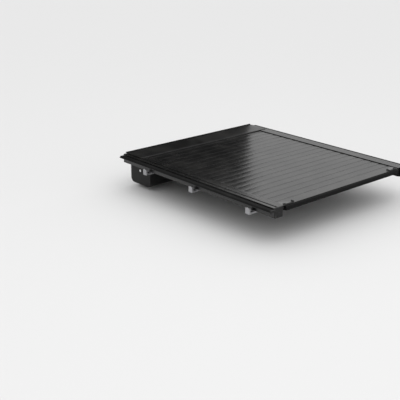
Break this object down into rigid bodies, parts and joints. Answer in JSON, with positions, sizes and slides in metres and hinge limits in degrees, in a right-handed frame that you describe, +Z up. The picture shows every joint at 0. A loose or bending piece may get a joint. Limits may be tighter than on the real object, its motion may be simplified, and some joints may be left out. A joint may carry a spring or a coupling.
{
  "type": "tonneau cover",
  "caption": "retractable hard tonneau cover: hooked aluminium slats slide in side rails on a pickup bed and roll up into a canister at the cab end, with corner latches in the tail bar",
  "frame": {"origin": "on the front face of the canister, midway across, at the height of the rail seats on the bed walls", "axes": "+X to the passenger side, +Y forward toward the cab (the way the curtain opens), +Z up"},
  "size_m": [1.536, 1.7125, 0.2887],
  "materials": {
    "black_powder_coat": "fine-textured black powder coat on sheet aluminium",
    "satin_black_aluminium": "satin black powder coat on extruded aluminium",
    "black_plastic": "grained black glass-filled nylon",
    "rubber": "matt black EPDM",
    "brush": "black nylon pile",
    "nylon": "natural low-friction plastic",
    "black_steel": "black oxide steel",
    "zinc_steel": "zinc-plated steel",
    "spring_steel": "oiled spring wire",
    "cast_aluminium": "cast and bead-blasted aluminium",
    "mill_aluminium": "mill-finish extruded aluminium"
  },
  "bodies": {
    "frame": {"canister_shell": "black_powder_coat", "canister_lid": "black_powder_coat", "canister_end_left": "black_plastic", "canister_end_right": "black_plastic", "bulkhead_seal": "rubber", "lid_wiper": "brush", "lid_screws": "black_steel", "end_plate_screws": "black_steel", "rail_left": "satin_black_aluminium", "rail_right": "satin_black_aluminium", "rail_seal_left": "rubber", "rail_seal_right": "rubber", "guide_strips": "nylon", "rail_cap_left": "black_plastic", "rail_cap_right": "black_plastic", "rail_cap_screws": "black_steel", "clamp_saddles": "cast_aluminium", "clamp_jaws": "cast_aluminium", "clamp_bolts": "zinc_steel", "clamp_nuts": "zinc_steel", "drain_fittings": "black_plastic", "latch_strikes": "zinc_steel", "drum_axle": "zinc_steel"},
    "tail_bar": {"tail_bar": "satin_black_aluminium", "tail_seal": "rubber", "end_shoes": "black_plastic", "latch_housing_left": "cast_aluminium", "latch_housing_right": "cast_aluminium", "latch_spring_left": "spring_steel", "latch_spring_right": "spring_steel"},
    "roll": {"drum_tube": "mill_aluminium", "drum_bearings": "zinc_steel", "torsion_spring": "spring_steel", "wound_slats": "satin_black_aluminium"},
    "run_in_slat": {"run_in_slat": "satin_black_aluminium"},
    "guide_roller": {"guide_roller": "mill_aluminium"},
    "lever_left": {"latch_lever_left": "black_plastic"},
    "lever_right": {"latch_lever_right": "black_plastic"},
    "bolt_left": {"latch_bolt_left": "zinc_steel"},
    "bolt_right": {"latch_bolt_right": "zinc_steel"},
    "slat_01": {"curtain_slat_01": "satin_black_aluminium"},
    "slat_02": {"curtain_slat_02": "satin_black_aluminium"},
    "slat_03": {"curtain_slat_03": "satin_black_aluminium"},
    "slat_04": {"curtain_slat_04": "satin_black_aluminium"},
    "slat_05": {"curtain_slat_05": "satin_black_aluminium"},
    "slat_06": {"curtain_slat_06": "satin_black_aluminium"},
    "slat_07": {"curtain_slat_07": "satin_black_aluminium"},
    "slat_08": {"curtain_slat_08": "satin_black_aluminium"},
    "slat_09": {"curtain_slat_09": "satin_black_aluminium"},
    "slat_10": {"curtain_slat_10": "satin_black_aluminium"},
    "slat_11": {"curtain_slat_11": "satin_black_aluminium"},
    "slat_12": {"curtain_slat_12": "satin_black_aluminium"},
    "slat_13": {"curtain_slat_13": "satin_black_aluminium"},
    "slat_14": {"curtain_slat_14": "satin_black_aluminium"},
    "slat_15": {"curtain_slat_15": "satin_black_aluminium"},
    "slat_16": {"curtain_slat_16": "satin_black_aluminium"},
    "slat_17": {"curtain_slat_17": "satin_black_aluminium"},
    "slat_18": {"curtain_slat_18": "satin_black_aluminium"},
    "slat_19": {"curtain_slat_19": "satin_black_aluminium"}
  },
  "joints": [
    {"name": "curtain_slide", "type": "slide", "parent": "frame", "child": "tail_bar", "axis": [0, 1, 0], "range_m": [0, 1.366], "deforming": ["curtain_slat_02", "curtain_slat_03", "curtain_slat_04", "curtain_slat_05", "curtain_slat_06", "curtain_slat_07", "curtain_slat_08", "curtain_slat_09", "curtain_slat_10", "curtain_slat_11", "curtain_slat_12", "curtain_slat_13", "curtain_slat_14", "curtain_slat_15", "curtain_slat_16", "curtain_slat_17", "curtain_slat_18", "curtain_slat_19"]},
    {"name": "slat_01_slide", "type": "slide", "parent": "frame", "child": "slat_01", "axis": [0, 1, 0], "range_m": [0, 1.3661]},
    {"name": "slat_02_slide", "type": "slide", "parent": "frame", "child": "slat_02", "axis": [0, 1, 0], "range_m": [0, 1.3303]},
    {"name": "slat_03_slide", "type": "slide", "parent": "frame", "child": "slat_03", "axis": [0, 1, 0], "range_m": [0, 1.2588]},
    {"name": "slat_04_slide", "type": "slide", "parent": "frame", "child": "slat_04", "axis": [0, 1, 0], "range_m": [0, 1.1873]},
    {"name": "slat_05_slide", "type": "slide", "parent": "frame", "child": "slat_05", "axis": [0, 1, 0], "range_m": [0, 1.1158]},
    {"name": "slat_06_slide", "type": "slide", "parent": "frame", "child": "slat_06", "axis": [0, 1, 0], "range_m": [0, 1.0443]},
    {"name": "slat_07_slide", "type": "slide", "parent": "frame", "child": "slat_07", "axis": [0, 1, 0], "range_m": [0, 0.9728]},
    {"name": "slat_08_slide", "type": "slide", "parent": "frame", "child": "slat_08", "axis": [0, 1, 0], "range_m": [0, 0.9013]},
    {"name": "slat_09_slide", "type": "slide", "parent": "frame", "child": "slat_09", "axis": [0, 1, 0], "range_m": [0, 0.8298]},
    {"name": "slat_10_slide", "type": "slide", "parent": "frame", "child": "slat_10", "axis": [0, 1, 0], "range_m": [0, 0.7583]},
    {"name": "slat_11_slide", "type": "slide", "parent": "frame", "child": "slat_11", "axis": [0, 1, 0], "range_m": [0, 0.6868]},
    {"name": "slat_12_slide", "type": "slide", "parent": "frame", "child": "slat_12", "axis": [0, 1, 0], "range_m": [0, 0.6153]},
    {"name": "slat_13_slide", "type": "slide", "parent": "frame", "child": "slat_13", "axis": [0, 1, 0], "range_m": [0, 0.5438]},
    {"name": "slat_14_slide", "type": "slide", "parent": "frame", "child": "slat_14", "axis": [0, 1, 0], "range_m": [0, 0.4723]},
    {"name": "slat_15_slide", "type": "slide", "parent": "frame", "child": "slat_15", "axis": [0, 1, 0], "range_m": [0, 0.4008]},
    {"name": "slat_16_slide", "type": "slide", "parent": "frame", "child": "slat_16", "axis": [0, 1, 0], "range_m": [0, 0.3293]},
    {"name": "slat_17_slide", "type": "slide", "parent": "frame", "child": "slat_17", "axis": [0, 1, 0], "range_m": [0, 0.2578]},
    {"name": "slat_18_slide", "type": "slide", "parent": "frame", "child": "slat_18", "axis": [0, 1, 0], "range_m": [0, 0.1863]},
    {"name": "slat_19_slide", "type": "slide", "parent": "frame", "child": "slat_19", "axis": [0, 1, 0], "range_m": [0, 0.1148]},
    {"name": "drum_spin", "type": "hinge", "parent": "frame", "child": "roll", "pos_m": [0, -0.125, -0.105], "axis": [1, 0, 0], "range_deg": [-900.1, 0], "deforming": ["wound_slats", "torsion_spring"]},
    {"name": "run_in_tilt", "type": "hinge", "parent": "frame", "child": "run_in_slat", "pos_m": [0, -0.161, 0.0175], "axis": [1, 0, 0], "range_deg": [0, 10.81]},
    {"name": "guide_roller_spin", "type": "hinge", "parent": "frame", "child": "guide_roller", "pos_m": [0, -0.24, 0.0007], "axis": [1, 0, 0], "range_deg": [-6522.2, 0]},
    {"name": "latch_lever_right_turn", "type": "hinge", "parent": "tail_bar", "child": "lever_right", "pos_m": [0.608, -1.683, 0.022], "axis": [0, 0, 1], "range_deg": [0, 30], "stiffness_Nm_per_rad": 0.8, "springref_deg": -11.46},
    {"name": "latch_bolt_right_slide", "type": "slide", "parent": "tail_bar", "child": "bolt_right", "axis": [-1, 0, 0], "range_m": [0, 0.0172], "deforming": ["latch_spring_right"]},
    {"name": "latch_lever_left_turn", "type": "hinge", "parent": "tail_bar", "child": "lever_left", "pos_m": [-0.608, -1.683, 0.022], "axis": [0, 0, -1], "range_deg": [0, 30], "stiffness_Nm_per_rad": 0.8, "springref_deg": -11.46},
    {"name": "latch_bolt_left_slide", "type": "slide", "parent": "tail_bar", "child": "bolt_left", "axis": [1, 0, 0], "range_m": [0, 0.0172], "deforming": ["latch_spring_left"]}
  ],
  "couplings": [
    {"joint": "slat_01_slide", "follows": "curtain_slide", "ratio": 1},
    {"joint": "slat_02_slide", "follows": "curtain_slide", "ratio": 0.97382},
    {"joint": "slat_03_slide", "follows": "curtain_slide", "ratio": 0.92148},
    {"joint": "slat_04_slide", "follows": "curtain_slide", "ratio": 0.86914},
    {"joint": "slat_05_slide", "follows": "curtain_slide", "ratio": 0.8168},
    {"joint": "slat_06_slide", "follows": "curtain_slide", "ratio": 0.76445},
    {"joint": "slat_07_slide", "follows": "curtain_slide", "ratio": 0.71211},
    {"joint": "slat_08_slide", "follows": "curtain_slide", "ratio": 0.65977},
    {"joint": "slat_09_slide", "follows": "curtain_slide", "ratio": 0.60743},
    {"joint": "slat_10_slide", "follows": "curtain_slide", "ratio": 0.55508},
    {"joint": "slat_11_slide", "follows": "curtain_slide", "ratio": 0.50274},
    {"joint": "slat_12_slide", "follows": "curtain_slide", "ratio": 0.4504},
    {"joint": "slat_13_slide", "follows": "curtain_slide", "ratio": 0.39806},
    {"joint": "slat_14_slide", "follows": "curtain_slide", "ratio": 0.34571},
    {"joint": "slat_15_slide", "follows": "curtain_slide", "ratio": 0.29337},
    {"joint": "slat_16_slide", "follows": "curtain_slide", "ratio": 0.24103},
    {"joint": "slat_17_slide", "follows": "curtain_slide", "ratio": 0.18868},
    {"joint": "slat_18_slide", "follows": "curtain_slide", "ratio": 0.13634},
    {"joint": "slat_19_slide", "follows": "curtain_slide", "ratio": 0.084},
    {"joint": "drum_spin", "follows": "curtain_slide", "rad_per_m": -11.5},
    {"joint": "run_in_tilt", "follows": "curtain_slide", "rad_per_m": 0.138},
    {"joint": "guide_roller_spin", "follows": "curtain_slide", "rad_per_m": -83.333},
    {"joint": "latch_bolt_right_slide", "follows": "latch_lever_right_turn", "m_per_rad": 0.032659},
    {"joint": "latch_bolt_left_slide", "follows": "latch_lever_left_turn", "m_per_rad": 0.032659}
  ]
}
